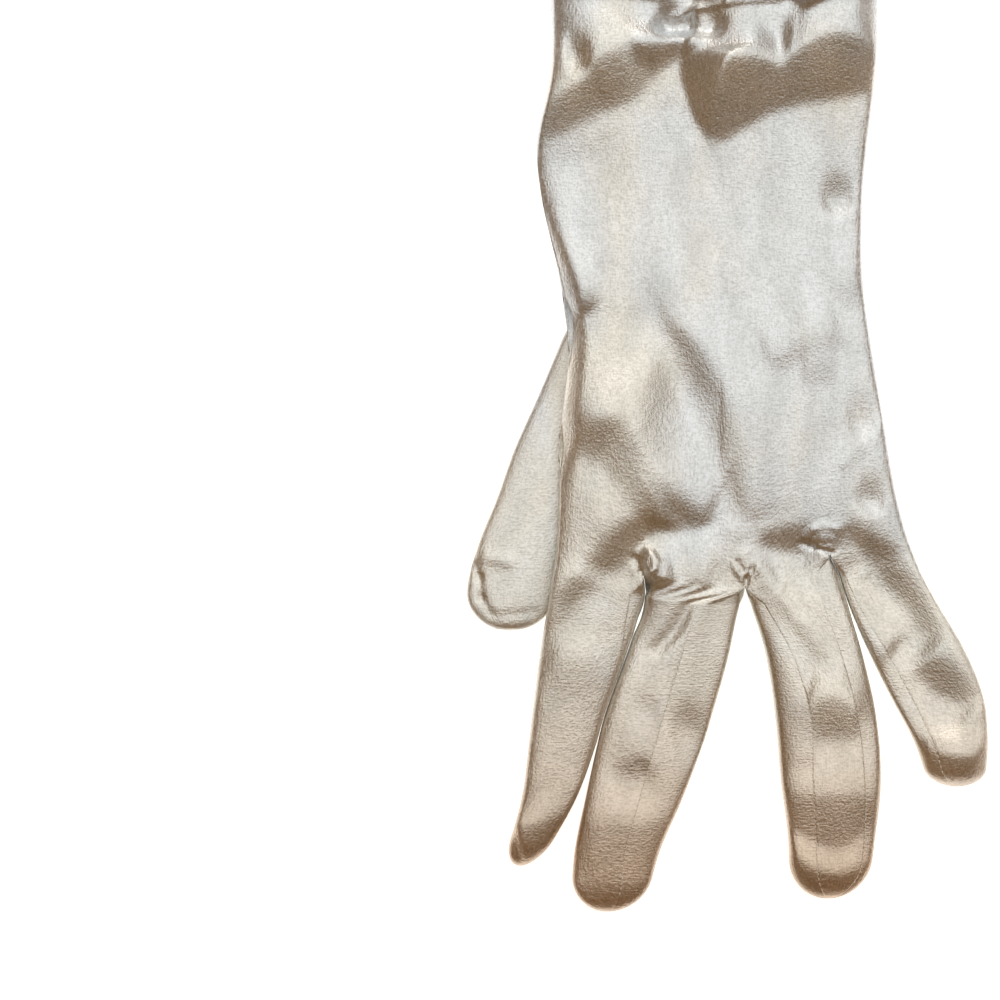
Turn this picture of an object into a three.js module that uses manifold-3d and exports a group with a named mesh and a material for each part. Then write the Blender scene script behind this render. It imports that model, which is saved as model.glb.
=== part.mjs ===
// A ruched satin dress glove lying on its palm, fingers towards -Y and the open cuff towards +Y.
// Millimetres, +Z up. The origin is on the surface that the glove lies on, under the middle of the hand.
// The cloth is a thin wall round an empty hand: a back panel and a palm panel, each cut in one piece
// with its four fingers, a gusset (fourchette) in each of the three forks, and a set-in thumb.
import * as THREE from 'three';
import { mergeVertices } from 'three/addons/utils/BufferGeometryUtils.js';
import Module from 'manifold-3d';

// Cloth and seams
const WALL = 1.0;
const SEAM_GAP = 0.3;
const TRIM = 0.4; // room left round the panels where a gusset comes up to them
const HEM = { from: 127, extraWall: 0.7 };

// Every section is an arch over a flat underside that tucks in at its edges. Its widest place is at
// middle of its height, and folds fade out towards the edges.
const SECTION = { middle: 0.42, crown: 0.8, flat: 1.25, tuck: 0.7, foldsFrom: 1.3 };

// Columns of faces across each finger's share of the two panels, and across a gusset
const BACK_COLUMNS = 6;
const PALM_COLUMNS = 5;
const GUSSET_COLUMNS = 3;

// A table is a list of rows with named columns.
const table = (columns, ...rows) =>
  rows.map((row) => Object.fromEntries(columns.map((name, i) => [name, row[i]])));

// The hand and cuff, section by section: the two side edges and how thick the empty glove lies.
const HAND = table(['y', 'left', 'right', 'height'],
  [132, -41.0, 34.6, 12.0],
  [110, -42.1, 35.2, 12.5],
  [95, -42.2, 35.5, 13.0],
  [78, -42.4, 35.0, 13.5],
  [60, -45.6, 32.9, 13.0],
  [48, -44.5, 31.9, 12.5],
  [29, -40.2, 32.0, 12.5],
  [14, -36.4, 33.8, 12.5],
  [-5, -37.0, 36.9, 12.5],
  [-24, -38.4, 40.2, 12.0],
  [-36, -40.2, 43.8, 11.0],
  [-60, -45.0, 55.0, 10.0],
);

// Each finger: the side edges of its sections, from the fork to the tip, and its height. seams are
// the angles on its section, in degrees, where the back panel ends. round is the length of its end.
const FINGERS = {
  index: {
    tip: -111.0, round: 6.2, seams: { left: 180, right: 56 },
    rows: table(['y', 'left', 'right', 'height'],
      [-36, -40.2, -19.0, 11.0],
      [-48, -42.7, -21.1, 10.0],
      [-60, -44.8, -25.2, 9.5],
      [-76, -46.8, -30.2, 9.0],
      [-95, -49.2, -36.2, 8.5],
      [-111, -53.8, -45.2, 7.0]),
  },
  middle: {
    tip: -121.9, round: 8.3, seams: { left: 200, right: 82 },
    rows: table(['y', 'left', 'right', 'height'],
      [-38, -19.0, 3.3, 11.0],
      [-48, -20.2, 2.7, 10.5],
      [-60, -24.2, 0.5, 10.0],
      [-76, -29.2, -4.4, 9.5],
      [-95, -34.0, -10.8, 9.0],
      [-108, -36.6, -16.4, 8.5],
      [-122, -37.4, -19.8, 7.5]),
  },
  ring: {
    tip: -118.8, round: 9.5, seams: { left: 110, right: 42 },
    rows: table(['y', 'left', 'right', 'height'],
      [-36, 3.3, 22.6, 11.0],
      [-48, 5.4, 28.2, 10.5],
      [-60, 8.7, 32.1, 10.0],
      [-76, 11.3, 35.4, 9.5],
      [-91, 12.6, 36.4, 9.0],
      [-105, 14.4, 35.0, 8.5],
      [-119, 14.4, 33.2, 7.5]),
  },
  little: {
    tip: -92.1, round: 4.2, seams: { left: 122, right: 0 },
    rows: table(['y', 'left', 'right', 'height'],
      [-34, 22.6, 43.1, 10.5],
      [-48, 28.9, 49.6, 10.0],
      [-60, 34.0, 56.6, 9.5],
      [-71, 39.0, 60.9, 9.0],
      [-81, 44.2, 61.9, 8.5],
      [-92, 48.1, 61.2, 7.0]),
  },
};
const ORDER = ['index', 'middle', 'ring', 'little'];

// The side edges of the hand and the forks between the fingers, each as its share of the hand's
// width and its place along the glove.
const FORKS = table(['share', 'y'],
  [0, -36],
  [0.252, -36.2],
  [0.518, -38.6],
  [0.739, -32.1],
  [1, -35],
);
const FORK_LINE = -36;
const FORK_REACH = 30; // how far up the hand the rows still bend towards the forks
const ROUNDING = 20; // length over which the flat hand turns into round fingers
const GUSSET_SPREAD = 84; // degrees of a finger's section that its gusset covers

// The thumb lies flat under the palm's left side and opens into the hand through an oval hole.
const THUMB = {
  tip: -55.0, round: 9.5, root: 27.0, rootRound: 13, height: 7.0, mid: 3.2,
  rows: table(['y', 'left', 'right'],
    [27, -34.5, -15.0],
    [14, -39.8, -17.2],
    [0, -45.7, -22.6],
    [-12, -51.0, -27.2],
    [-24, -55.3, -31.6],
    [-33, -59.0, -35.6],
    [-43, -61.9, -39.6],
    [-55, -62.4, -41.4]),
};
const THUMB_HOLE = { x: -28.2, y: 8.5, halfWidth: 6.0, halfLength: 11.0, lean: 14 };

// The palm and the back of the hand are raised over the thumb, fully up to clear past its right edge
// and then down a slope, and fade towards the cuff from top and towards the fingertips from low.
const LIFT = { clear: 1, top: 27, topFade: 36, low: -41, lowFade: 24 };
const LIFT_OF_PALM = { height: 7.5, slope: 15 };
const LIFT_OF_BACK = { height: 6.4, slope: 24 };

// Ruching on the back of the cuff: pillows of cloth that leave the gathered line on both sides.
// Each crest runs from the line (x0, y0) to a side edge (x1, y1). low0 and low1 are how far its
// slope reaches towards the hand at those two ends, and high how far it reaches towards the opening.
const PILLOWS = table(['x0', 'y0', 'x1', 'y1', 'low0', 'low1', 'high', 'height'],
  [-8, 86.0, 36, 89.0, 17.0, 11.0, 6.5, 9.5],
  [-11, 90.0, -43, 77.0, 7.0, 14.0, 11.0, 8.5],
  [-7, 99.5, 36, 101.0, 6.5, 6.5, 5.5, 8.5],
  [-12, 101.0, -43, 99.0, 6.5, 8.0, 5.5, 8.0],
  [-7, 111.0, 36, 112.5, 5.5, 5.5, 5.0, 7.0],
  [-12, 111.5, -42, 112.0, 5.5, 5.5, 5.0, 7.0],
  [-7, 121.0, 36, 122.0, 4.5, 4.5, 3.5, 4.5],
  [-12, 121.0, -42, 122.0, 4.5, 4.5, 3.5, 4.5],
);
const PILLOW_SWELL = 3.5; // how soon a pillow swells beside the gathered line
const PILLOW_ROUND = 3; // how full its crest is

// Folds and dents of the cloth: ridges are positive and valleys negative, each along a bowed line.
const FOLDS = table(['x0', 'y0', 'x1', 'y1', 'bow', 'width', 'height'],
  [-46, 53, -32, 55, 0, 4.5, 2.2],
  [-36, 86, -34, 84, 0, 3.5, -2.2],
  [23, 52, 28, 49, 0, 3.5, -1.6],
  [-34, 27, -12, -6, -1.5, 5.5, 2.0],
  [-17, 12, 0, -28, 1, 4.5, -2.6],
  [-34, -6, -15, -26, 0, 4.5, -2.2],
  [-43, -56, -23, -35, -2, 4.5, -2.2],
  [-23, -34, -7, -31, 3, 3.5, -2.4],
  [-17, -37, -1, -37, -1, 3.5, 2.4],
  [5, -35, 18, -33, 0, 3.0, -2.2],
  [12, 4, 22, 10, 0, 4.0, -1.4],
  [30, -3, 33, -4, 0, 3.0, -1.4],
  [33, -22, 34, -23, 0, 3.0, -1.4],
  [27, -15, 37, -6, 0, 2.0, 1.2],
  [26, -28, 43, -52, -2, 4.0, -2.4],
  [-13, -76, -12, -72, 0, 5.0, -1.8],
  [-22, -60, -20, -62, 0, 5.0, 1.4],
  [-27, -98, -17, -96, 0, 5.0, 1.4],
  [7, -50, 22, -66, 0, 3.0, 1.6],
  [21, -76, 27, -76, 0, 5.0, -2.2],
  [20, -90, 28, -90, 0, 4.0, 1.3],
  [41, -57, 55, -71, 0, 4.0, -2.2],
);

const clamp01 = (t) => Math.min(1, Math.max(0, t));
const ease = (t) => clamp01(t) ** 2 * (3 - 2 * clamp01(t));
const radians = THREE.MathUtils.degToRad;
const lerp = THREE.MathUtils.lerp;

// A column of a table at any y, on a smooth curve through its rows.
function at(rows, y, column) {
  const down = rows[0].y > rows[rows.length - 1].y ? 1 : -1;
  let i = 0;
  while (i < rows.length - 2 && (rows[i + 1].y - y) * down > 0) i++;
  const last = rows.length - 1;
  const [a, b, c, d] = [rows[Math.max(i - 1, 0)], rows[i], rows[i + 1], rows[Math.min(i + 2, last)]];
  const slope = (p, q) => (q.y === p.y ? 0 : (q[column] - p[column]) / (q.y - p.y));
  const span = c.y - b.y;
  const t = clamp01((y - b.y) / span);
  const start = (a === b ? slope(b, c) : (slope(a, b) + slope(b, c)) / 2) * span;
  const end = (c === d ? slope(b, c) : (slope(b, c) + slope(c, d)) / 2) * span;
  const [t2, t3] = [t * t, t * t * t];
  return (2 * t3 - 3 * t2 + 1) * b[column] + (t3 - 2 * t2 + t) * start
    + (3 * t2 - 2 * t3) * c[column] + (t3 - t2) * end;
}

// How far the cloth is raised where the thumb lies under it: up is 0 on the palm and 1 on the back.
function lift(x, y, up) {
  const height = lerp(LIFT_OF_PALM.height, LIFT_OF_BACK.height, up);
  const slope = lerp(LIFT_OF_PALM.slope, LIFT_OF_BACK.slope, up);
  const across = 1 - ease((x - at(THUMB.rows, y, 'right') - LIFT.clear) / slope);
  const towardsCuff = 1 - ease((y - LIFT.top) / LIFT.topFade);
  const towardsTips = 1 - ease((LIFT.low - y) / LIFT.lowFade);
  return height * across * towardsCuff * towardsTips;
}

// The height that folds and pillows add to the upper side at a place.
function folds(x, y) {
  let z = 0;
  for (const f of FOLDS) {
    const [dx, dy] = [f.x1 - f.x0, f.y1 - f.y0];
    const length = Math.hypot(dx, dy);
    const along = ((x - f.x0) * dx + (y - f.y0) * dy) / length;
    const t = clamp01(along / length);
    const side = ((x - f.x0) * dy - (y - f.y0) * dx) / length - f.bow * 4 * t * (1 - t);
    const past = along - t * length;
    z += f.height * Math.exp(-(side * side + past * past) / (f.width * f.width));
  }
  for (const p of PILLOWS) {
    const t = (x - p.x0) / (p.x1 - p.x0);
    const fromLine = Math.max(t, 0) * Math.abs(p.x1 - p.x0);
    const swell = 1 - Math.exp(-((fromLine / PILLOW_SWELL) ** 2));
    const off = y - lerp(p.y0, p.y1, clamp01(t));
    const reach = off < 0 ? lerp(p.low0, p.low1, clamp01(t)) : p.high;
    z += p.height * swell * Math.exp(-(Math.abs(off / reach) ** PILLOW_ROUND));
  }
  return z;
}

// Height of a section's outline where its angle has the sine s; reach is under 1 at a rounded end.
function outlineHeight(s, mid, height, reach) {
  return s >= 0
    ? mid + (height - mid) * reach * s ** SECTION.crown
    : mid * (1 - reach * Math.min(1, SECTION.flat * (-s) ** SECTION.tuck));
}

// A point of a flattened, rounded section. Angle 0 is its right edge, 90 its top and 270 its underside.
function section(left, right, height, angle, y, close = 1) {
  const s = Math.sin(angle);
  const x = (left + right) / 2 + ((right - left) / 2) * close * Math.cos(angle);
  const reach = close ** SECTION.crown;
  const folded = s > 0 ? folds(x, y) * ease(s * SECTION.foldsFrom) * reach : 0;
  const z = outlineHeight(s, height * SECTION.middle, height, reach) + folded;
  return new THREE.Vector3(x, y, z + lift(x, y, ease(s)));
}

const handPoint = (angle, y) =>
  section(at(HAND, y, 'left'), at(HAND, y, 'right'), at(HAND, y, 'height'), angle, y);

// Round a finger's end: how much of its width is left at y.
const closing = (tip, round, y) => {
  const t = clamp01((y - tip) / round);
  return Math.sqrt(Math.max(0, 1 - (1 - t) ** 2));
};
const fingerPoint = (finger, angle, y) => section(
  at(finger.rows, y, 'left'), at(finger.rows, y, 'right'), at(finger.rows, y, 'height'),
  angle, y, closing(finger.tip, finger.round, y));

// Angle of the hand's section at a share of its width, on the back or on the palm.
const shareAngle = (share, palm) => {
  const angle = Math.acos(2 * clamp01(share) - 1);
  return palm ? -angle : angle;
};
// Where the fork line lies at a share of the hand's width.
const forkY = (share) => {
  let i = 0;
  while (i < FORKS.length - 2 && share > FORKS[i + 1].share) i++;
  return lerp(FORKS[i].y, FORKS[i + 1].y,
    ease((share - FORKS[i].share) / (FORKS[i + 1].share - FORKS[i].share)));
};

// Rows of faces: down the cuff and hand to the fork line, then down each finger to its tip.
const steps = (from, to, step) =>
  Array.from({ length: Math.round((from - to) / step) }, (_, i) => from - i * step);
const NEAR_FORKS = [-23, -28, -32.5, FORK_LINE];
const HAND_ROWS = [...steps(132, 78, 3), ...steps(78, -20, 7), ...NEAR_FORKS];
const PALM_HAND_ROWS = [...steps(132, 42, 15), ...steps(42, -20, 7), ...NEAR_FORKS];
const FINGER_START = [2, 5, 9, 14, 20]; // first rows past the fork, in millimetres
const FINGER_SPAN = 5; // rows between those and the rounded end
const TIP_ANGLES = [0, 28, 50, 67, 80]; // rows round the end, in degrees of its quarter circle

function fingerRows(finger) {
  const first = FORK_LINE - FINGER_START[FINGER_START.length - 1];
  const last = finger.tip + finger.round;
  const ys = FINGER_START.map((d) => FORK_LINE - d);
  for (let i = 1; i < FINGER_SPAN; i++) ys.push(lerp(first, last, i / FINGER_SPAN));
  for (const a of TIP_ANGLES) ys.push(last - finger.round * Math.sin(radians(a)));
  return ys;
}

// A point of the back or palm panel: share runs 0 to 1 across one finger's strip.
function panelPoint(strip, share, y, palm) {
  const finger = FINGERS[ORDER[strip]];
  const [a, b] = [FORKS[strip].share, FORKS[strip + 1].share];
  const angle = lerp(shareAngle(a, palm), shareAngle(b, palm), share);
  const handPart = (Math.cos(angle) + 1) / 2;
  const bend = forkY(handPart) - FORK_LINE;
  const above = clamp01((y - FORK_LINE) / FORK_REACH);
  const below = clamp01((FORK_LINE - y) / ROUNDING);
  const placed = y + bend * (1 - ease(y > FORK_LINE ? above : below));
  const hand = handPoint(angle, placed);
  if (y >= FORK_LINE) return hand;
  const { left, right } = finger.seams;
  const palmLeft = strip === 0 ? 180 : left + GUSSET_SPREAD;
  const palmRight = strip === ORDER.length - 1 ? 360 : 360 + right - GUSSET_SPREAD;
  const [from, to] = palm ? [palmLeft, palmRight] : [left, right];
  const round = fingerPoint(finger, radians(lerp(from, to, share)), placed);
  return hand.lerp(round, ease(below));
}

// A point of a gusset: side -1 is the finger left of the fork and +1 the one right of it,
// across runs 0 to 1 from the back panel's seam down to the palm panel's.
function gussetPoint(fork, side, across, y) {
  const finger = FINGERS[ORDER[side < 0 ? fork - 1 : fork]];
  const share = FORKS[fork].share;
  const below = clamp01((FORK_LINE - y) / ROUNDING);
  const placed = y + (FORKS[fork].y - FORK_LINE) * (1 - ease(below));
  const top = handPoint(shareAngle(share, false), placed);
  const bottom = handPoint(shareAngle(share, true), placed);
  const start = side < 0 ? finger.seams.right : finger.seams.left;
  const angle = radians(start + side * GUSSET_SPREAD * across);
  return top.lerp(bottom, across).lerp(fingerPoint(finger, angle, placed), ease(below));
}

// The normal of a surface at u across and v along it, from points a small step apart.
const STEP = { across: 0.002, along: 0.05 };
function normalOf(point, u, v, flip) {
  const across = point(u + STEP.across, v).sub(point(u - STEP.across, v));
  const along = point(u, v + STEP.along).sub(point(u, v - STEP.along));
  const n = across.cross(along).normalize();
  return flip ? n.negate() : n;
}

// A geometry from the three coordinates of each vertex and the three vertices of each triangle.
function indexed(position, index) {
  const geometry = new THREE.BufferGeometry();
  geometry.setAttribute('position', new THREE.Float32BufferAttribute(position, 3));
  geometry.setIndex(index);
  return geometry;
}

// A wall of cloth from a list of outer points, their normals and the quads between them.
function clothWall(points, quads, thickness) {
  const inner = points.map((p) => p.at.clone().addScaledVector(p.normal, -thickness(p.at)));
  const count = points.length;
  const position = [...points.map((p) => p.at), ...inner].flatMap((v) => [v.x, v.y, v.z]);
  const index = [];
  const edges = new Map();
  for (const [a, b, c, d] of quads) {
    index.push(a, b, c, a, c, d);
    index.push(count + a, count + c, count + b, count + a, count + d, count + c);
    for (const [p, q] of [[a, b], [b, c], [c, d], [d, a]]) {
      if (edges.has(q + ':' + p)) edges.delete(q + ':' + p);
      else edges.set(p + ':' + q, [p, q]);
    }
  }
  for (const [p, q] of edges.values()) index.push(q, p, count + p, q, count + p, count + q);
  return indexed(position, index);
}

const wallAt = (p) => WALL + (p.y > HEM.from ? HEM.extraWall : 0);
const NARROWEST = 1.5; // a strip counts as at least this wide where its seams are trimmed
const MOST_INSET = 0.4; // most of a gusset's width that is trimmed at each side
const FORK_FOLD = 0.4; // how far past the fork line the middle of a gusset is folded

// The back or palm panel: one grid over the hand that splits into four strips at the forks.
// With a margin it is that much larger on every side, to cut what comes up against it.
function panel(palm, margin = 0) {
  const points = [];
  const quads = [];
  const columns = palm ? PALM_COLUMNS : BACK_COLUMNS;
  const addPoint = (strip, share, y) => {
    const surface = (s, v) => panelPoint(strip, s, v, palm);
    const normal = normalOf(surface, share, y, palm);
    points.push({ at: surface(share, y).addScaledVector(normal, margin), normal });
    return points.length - 1;
  };
  // One strip's points at y, from column first on; an edge that is cut is trimmed for its seam.
  const addRow = (strip, y, first, cutLeft, cutRight) => {
    const width = panelPoint(strip, 1, y, palm).distanceTo(panelPoint(strip, 0, y, palm));
    const inset = (SEAM_GAP / 2 - margin) / Math.max(width, NARROWEST);
    const row = [];
    for (let i = first; i <= columns; i++) {
      const trim = (i === 0 && cutLeft ? inset : 0) - (i === columns && cutRight ? inset : 0);
      row.push(addPoint(strip, i / columns + trim, y));
    }
    return row;
  };
  const join = (upper, lower) => {
    for (let i = 0; i < upper.length - 1; i++) {
      const quad = [upper[i], lower[i], lower[i + 1], upper[i + 1]];
      quads.push(palm ? quad.reverse() : quad);
    }
  };
  const last = ORDER.length - 1;
  let upper = null;
  for (const y of palm ? PALM_HAND_ROWS : HAND_ROWS) {
    const row = ORDER.flatMap((_, strip) =>
      addRow(strip, y, strip > 0 ? 1 : 0, strip === 0, strip === last));
    if (upper) join(upper, row);
    upper = row;
  }
  const forkRow = upper;
  ORDER.forEach((name, strip) => {
    upper = forkRow.slice(strip * columns, (strip + 1) * columns + 1);
    for (const y of fingerRows(FINGERS[name])) {
      const row = addRow(strip, y, 0, true, true);
      join(upper, row);
      upper = row;
    }
  });
  return clothWall(points, quads, (p) => wallAt(p) + 2 * margin);
}

// A gusset: one strip of cloth from a fingertip up to the fork and down to the next fingertip.
function gusset(fork) {
  const points = [];
  const quads = [];
  const addRow = (side, y) => {
    const surface = (s, v) => gussetPoint(fork, side, s, v);
    const round = ease((FORK_LINE - y) / ROUNDING);
    const tall = Math.max(surface(0, y).distanceTo(surface(1, y)), NARROWEST);
    const inset = Math.min((SEAM_GAP + (1 - round) * (WALL + SEAM_GAP)) / tall, MOST_INSET);
    const isFold = y > FORK_LINE - FORK_FOLD * 1.5;
    const row = [];
    for (let i = 0; i <= GUSSET_COLUMNS; i++) {
      const across = lerp(inset, 1 - inset, i / GUSSET_COLUMNS);
      const normal = isFold ? new THREE.Vector3(0, -1, 0) : normalOf(surface, across, y, side > 0);
      points.push({ at: surface(across, y), normal });
      row.push(points.length - 1);
    }
    return row;
  };
  const [left, right] = [fork - 1, fork].map((i) => fingerRows(FINGERS[ORDER[i]]).slice(0, -1));
  const rows = [
    ...left.reverse().map((y) => addRow(-1, y)),
    addRow(-1, FORK_LINE - FORK_FOLD),
    ...right.map((y) => addRow(1, y)),
  ];
  for (let r = 1; r < rows.length; r++) {
    for (let i = 0; i < GUSSET_COLUMNS; i++) {
      quads.push([rows[r - 1][i], rows[r - 1][i + 1], rows[r][i + 1], rows[r][i]]);
    }
  }
  return clothWall(points, quads, () => WALL);
}

// A closed tube in the thumb's shape, smaller by inset all round: rings of points and a pole at each end.
const THUMB_SIDES = 18;
const THUMB_LENGTHS = 7; // between its two rounded ends
const ROOT_ANGLES = [80, 60, 38, 15]; // rings round each end, in degrees of its quarter circle
const END_ANGLES = [28, 50, 68, 82];
function thumbBody(inset) {
  const top = THUMB.root - inset;
  const bottom = THUMB.tip + inset;
  const ys = ROOT_ANGLES.map((a) => top - THUMB.rootRound * (1 - Math.sin(radians(a))));
  for (let i = 0; i <= THUMB_LENGTHS; i++) {
    ys.push(lerp(top - THUMB.rootRound, bottom + THUMB.round, i / THUMB_LENGTHS));
  }
  ys.push(...END_ANGLES.map((a) => bottom + THUMB.round * (1 - Math.sin(radians(a)))));
  const ring = (y) => {
    const close = Math.min(closing(bottom, THUMB.round, y), closing(-top, THUMB.rootRound, -y));
    const [left, right] = [at(THUMB.rows, y, 'left') + inset, at(THUMB.rows, y, 'right') - inset];
    return Array.from({ length: THUMB_SIDES }, (_, i) => {
      const angle = (i / THUMB_SIDES) * 2 * Math.PI;
      const x = (left + right) / 2 + ((right - left) / 2) * close * Math.cos(angle);
      const [mid, height] = [THUMB.mid - inset, THUMB.height - 2 * inset];
      return [x, y, inset + outlineHeight(Math.sin(angle), mid, height, close ** SECTION.crown)];
    });
  };
  const middle = (y) => [(at(THUMB.rows, y, 'left') + at(THUMB.rows, y, 'right')) / 2, y, THUMB.mid];
  const position = [middle(top), ...ys.flatMap(ring), middle(bottom)];
  const index = [];
  const id = (r, i) => 1 + r * THUMB_SIDES + (i % THUMB_SIDES);
  const last = position.length - 1;
  for (let i = 0; i < THUMB_SIDES; i++) {
    index.push(0, id(0, i + 1), id(0, i), last, id(ys.length - 1, i), id(ys.length - 1, i + 1));
    for (let r = 1; r < ys.length; r++) {
      index.push(id(r - 1, i), id(r - 1, i + 1), id(r, i + 1), id(r - 1, i), id(r, i + 1), id(r, i));
    }
  }
  return indexed(position.flat(), index);
}

// An upright oval plug that cuts the thumb hole, between two heights.
function thumbHolePlug(low, high) {
  const { halfWidth, halfLength, lean } = THUMB_HOLE;
  const oval = new THREE.Shape();
  oval.absellipse(0, 0, halfWidth, halfLength, 0, 2 * Math.PI, false, radians(-lean));
  const plug = new THREE.ExtrudeGeometry(oval, { depth: high - low, bevelEnabled: false, curveSegments: 10 });
  return plug.translate(THUMB_HOLE.x, THUMB_HOLE.y, low);
}

const wasm = await Module();
wasm.setup();

// three.js geometry to a solid and back
function solid(geometry) {
  const bare = geometry.clone();
  bare.deleteAttribute('normal');
  bare.deleteAttribute('uv');
  const merged = mergeVertices(bare, 1e-4);
  return new wasm.Manifold(new wasm.Mesh({
    numProp: 3,
    vertProperties: merged.attributes.position.array,
    triVerts: new Uint32Array(merged.index.array),
  }));
}
function geometryOf(made) {
  const { numProp, numVert, vertProperties, triVerts } = made.getMesh();
  const position = new Float32Array(numVert * 3);
  for (let i = 0; i < numVert; i++) {
    position.set(vertProperties.subarray(i * numProp, i * numProp + 3), i * 3);
  }
  return indexed(position, [...triVerts]).toNonIndexed();
}

const largest = (made) => made.decompose().sort((a, b) => b.volume() - a.volume())[0];

const IVORY = { color: 0xe6dccb, roughness: 0.42, metalness: 0.0 };
const GUSSET_IVORY = { color: 0xddd2c0, roughness: 0.45, metalness: 0.0 };

const glove = new THREE.Group();
function addPiece(name, geometry, look) {
  geometry.computeVertexNormals();
  const mesh = new THREE.Mesh(geometry, new THREE.MeshStandardMaterial(look));
  mesh.name = name;
  glove.add(mesh);
}

const palmHole = thumbHolePlug((THUMB.height + LIFT_OF_PALM.height) / 2, LIFT_OF_PALM.height + 2 * WALL);
const thumbHole = thumbHolePlug(THUMB.mid + WALL, THUMB.height + WALL);
addPiece('back_panel', panel(false), IVORY);
addPiece('palm_panel', geometryOf(solid(panel(true)).subtract(solid(palmHole))), IVORY);
const roomForPanels = solid(panel(false, TRIM)).add(solid(panel(true, TRIM)));
['gusset_index_middle', 'gusset_middle_ring', 'gusset_ring_little'].forEach((name, i) => {
  addPiece(name, geometryOf(largest(solid(gusset(i + 1)).subtract(roomForPanels))), GUSSET_IVORY);
});
const thumbCloth = solid(thumbBody(0)).subtract(solid(thumbBody(WALL))).subtract(solid(thumbHole));
addPiece('thumb', geometryOf(thumbCloth), IVORY);

export default glove;
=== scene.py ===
# %% [markdown]
# # A ruched satin glove
# A stretch satin dress glove lies on its palm. The model that is loaded here holds the glove's
# pieces at their real size: a back panel, a palm panel, three gussets between the fingers and a
# thumb. This notebook gives each of them a fine cloth surface with its folds, seams and stitches,
# in the same place, and then the satin finish.

# %% The frame and the tools
import math

import bmesh
import bpy
import numpy as np
from mathutils import Matrix, Vector


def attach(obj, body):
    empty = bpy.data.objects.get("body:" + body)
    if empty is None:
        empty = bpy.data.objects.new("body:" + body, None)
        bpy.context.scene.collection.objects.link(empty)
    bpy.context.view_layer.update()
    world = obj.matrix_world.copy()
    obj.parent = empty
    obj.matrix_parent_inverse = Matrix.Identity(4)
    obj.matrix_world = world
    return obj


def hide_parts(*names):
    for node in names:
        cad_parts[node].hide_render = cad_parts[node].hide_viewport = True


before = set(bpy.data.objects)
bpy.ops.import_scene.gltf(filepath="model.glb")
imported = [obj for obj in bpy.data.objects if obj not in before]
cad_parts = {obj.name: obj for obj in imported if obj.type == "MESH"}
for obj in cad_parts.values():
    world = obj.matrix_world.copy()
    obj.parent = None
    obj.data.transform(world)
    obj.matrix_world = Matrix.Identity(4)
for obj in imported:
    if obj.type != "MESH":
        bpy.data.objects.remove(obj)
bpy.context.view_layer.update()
MM = 0.001
print("pieces to dress:", sorted(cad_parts))

# %% [markdown]
# ## Camera
# The photograph looks straight down on the glove from well above, fingers towards the bottom. Its
# frame is square and shows 238 mm of the surface. A long lens from far away keeps the view as
# flat as that. The frame's middle lies left of the glove, because the picture has room beside it.

# %% Camera straight above
PX_PER_MM = 4.2
FRAME_PX = 1000
FRAME_MID = Vector((-54.3, -23.8, 6.0))
CAMERA_HEIGHT = 1700
SENSOR = 36

camera = bpy.data.objects.new("camera", bpy.data.cameras.new("camera"))
bpy.context.scene.collection.objects.link(camera)
bpy.context.scene.camera = camera
camera.location = (FRAME_MID + Vector((0, 0, CAMERA_HEIGHT))) * MM
camera.data.sensor_width = SENSOR
camera.data.lens = SENSOR * CAMERA_HEIGHT * PX_PER_MM / FRAME_PX
print("lens", round(camera.data.lens, 1), "mm")

# %% [markdown]
# ## Floor and light
# A pale, plain floor runs far past the glove. The photograph's light is broad and soft, and it
# comes from above and beyond the cuff: every slope that turns towards the fingertips falls into
# warm brown shade, and that shade draws all of the folds. One broad lamp hangs overhead like a
# piece of sky and reaches beyond the cuff and to the right. A small one stands low beyond the
# cuff, and a dim warm world fills the shade.

# %% Floor, lamps and world
FLOOR_COLOUR = (0.96, 0.96, 0.95)
FLOOR_ROUGHNESS = 0.9
FLOOR_GLOW = 0.72
FLOOR_REACH = 4
LAMPS = {
    # name: (place in m, aim in m, width and depth in m, watts, colour)
    "sky": ((0.85, 1.32, 2.10), (0.85, 1.32, 0.0), (4.7, 4.2), 60.0, (0.93, 1.0, 1.03)),
    "from_the_cuff": ((-0.10, 1.45, 0.85), (-0.02, 0.0, 0.0), (0.9, 0.5), 3.8, (1.0, 0.97, 0.93)),
}
WORLD_COLOUR = (1.0, 0.43, 0.01)
WORLD_STRENGTH = 0.15


def plain_material(name, colour, roughness):
    made = bpy.data.materials.new(name)
    made.use_nodes = True
    shader = made.node_tree.nodes["Principled BSDF"]
    shader.inputs["Base Color"].default_value = (*colour, 1)
    shader.inputs["Roughness"].default_value = roughness
    return made


bm = bmesh.new()
bmesh.ops.create_grid(bm, x_segments=1, y_segments=1, size=FLOOR_REACH)
floor = bpy.data.objects.new("floor", bpy.data.meshes.new("floor"))
bm.to_mesh(floor.data)
bm.free()
pale = plain_material("pale floor", FLOOR_COLOUR, FLOOR_ROUGHNESS)
glow = pale.node_tree.nodes["Principled BSDF"].inputs
glow["Emission Color"].default_value = (1, 1, 1, 1)
glow["Emission Strength"].default_value = FLOOR_GLOW
floor.data.materials.append(pale)
bpy.context.scene.collection.objects.link(floor)

for name, (place, aim, size, watts, colour) in LAMPS.items():
    lamp = bpy.data.lights.new(name, "AREA")
    lamp.shape = "RECTANGLE"
    lamp.size, lamp.size_y = size
    lamp.energy = watts
    lamp.color = colour
    holder = bpy.data.objects.new(name, lamp)
    holder.location = place
    holder.rotation_euler = (Vector(aim) - Vector(place)).to_track_quat("-Z", "Y").to_euler()
    holder.visible_camera = False
    bpy.context.scene.collection.objects.link(holder)

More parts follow.
